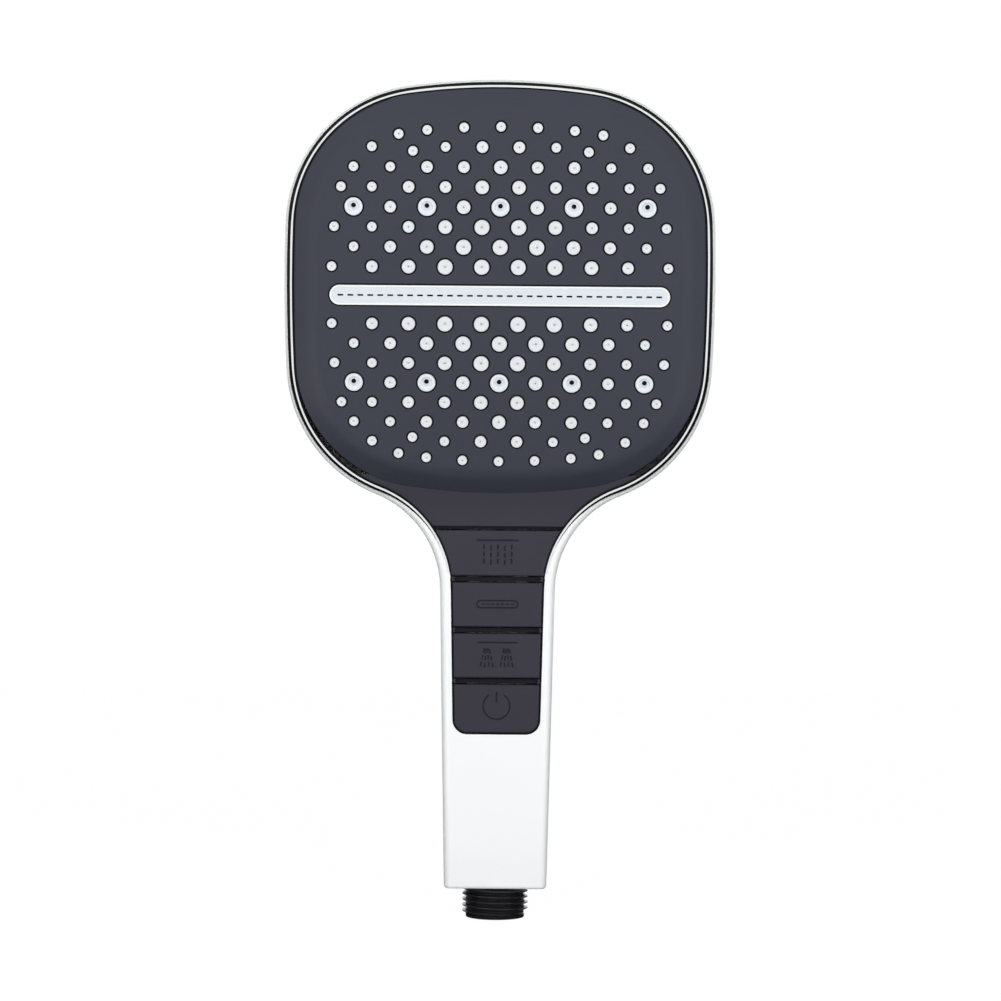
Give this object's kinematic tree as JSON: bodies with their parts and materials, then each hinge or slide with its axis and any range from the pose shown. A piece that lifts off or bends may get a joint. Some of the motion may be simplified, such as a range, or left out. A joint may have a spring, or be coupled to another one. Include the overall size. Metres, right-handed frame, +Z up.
{
  "type": "handheld shower head",
  "caption": "Flat rounded-square handheld shower head with a graded silicone nozzle field, a waterfall strip, a bright rim and a bank of press keys down its handle",
  "frame": {"origin": "on the inlet thread's axis, at the face of the handle's foot that the hose nut closes against", "axes": "+Z up the handle towards the head, -Y out of the spray side, X across the handle"},
  "size_m": [0.1346, 0.0546, 0.2628],
  "materials": {
    "shell": "satin",
    "trim": "polished",
    "pad": "matte",
    "silicone": "satin",
    "jets": "gloss",
    "keys": "matte",
    "inlet": "gloss",
    "inner_plastic": "matte",
    "seal_rubber": "matte",
    "steel": "satin"
  },
  "bodies": {
    "handset": {"rear_shell": "shell", "trim_ring": "trim", "face_plate": "pad", "nozzle_mat": "silicone", "jet_nozzles": "jets", "waterfall_strip": "jets", "chamber_plate": "inner_plastic", "chamber_gasket": "seal_rubber", "chamber_cover": "inner_plastic", "face_screws": "steel", "feed_seals": "seal_rubber", "feed_tube_rain": "inner_plastic", "feed_tube_waterfall": "inner_plastic", "feed_tube_massage": "inner_plastic", "key_frame": "keys", "valve_block": "inner_plastic", "valve_cover": "inner_plastic", "valve_screws": "steel", "interlock_spring": "steel", "inlet_connector": "inlet", "inlet_seal": "seal_rubber", "lock_nut": "inlet", "inlet_pipe": "inner_plastic", "flow_limiter": "seal_rubber", "filter_screen": "inner_plastic", "spring_pause": "steel", "spring_massage": "steel", "spring_waterfall": "steel", "spring_rain": "steel"},
    "key_pause": {"key_pause": "keys", "plunger_pause": "inner_plastic", "seal_pause": "seal_rubber"},
    "key_massage": {"key_massage": "keys", "plunger_massage": "inner_plastic", "seal_massage": "seal_rubber"},
    "key_waterfall": {"key_waterfall": "keys", "plunger_waterfall": "inner_plastic", "seal_waterfall": "seal_rubber"},
    "key_rain": {"key_rain": "keys", "plunger_rain": "inner_plastic", "seal_rain": "seal_rubber"},
    "interlock": {"interlock_slide": "inner_plastic"}
  },
  "joints": [
    {"name": "press_pause", "type": "slide", "parent": "handset", "child": "key_pause", "axis": [0, 1, 0], "range_m": [0, 0.0025], "stiffness_N_per_m": 1200, "springref_m": -0.002, "deforming": ["spring_pause"]},
    {"name": "press_massage", "type": "slide", "parent": "handset", "child": "key_massage", "axis": [0, 1, 0], "range_m": [0, 0.0025], "stiffness_N_per_m": 1200, "springref_m": -0.002, "deforming": ["spring_massage"]},
    {"name": "press_waterfall", "type": "slide", "parent": "handset", "child": "key_waterfall", "axis": [0, 1, 0], "range_m": [0, 0.0025], "stiffness_N_per_m": 1200, "springref_m": -0.002, "deforming": ["spring_waterfall"]},
    {"name": "press_rain", "type": "slide", "parent": "handset", "child": "key_rain", "axis": [0, 1, 0], "range_m": [0, 0.0025], "stiffness_N_per_m": 1200, "springref_m": -0.002, "deforming": ["spring_rain"]},
    {"name": "interlock_shift", "type": "slide", "parent": "handset", "child": "interlock", "axis": [0, 0, 1], "range_m": [0, 0.0012], "stiffness_N_per_m": 400, "springref_m": -0.001, "deforming": ["interlock_spring"]}
  ]
}
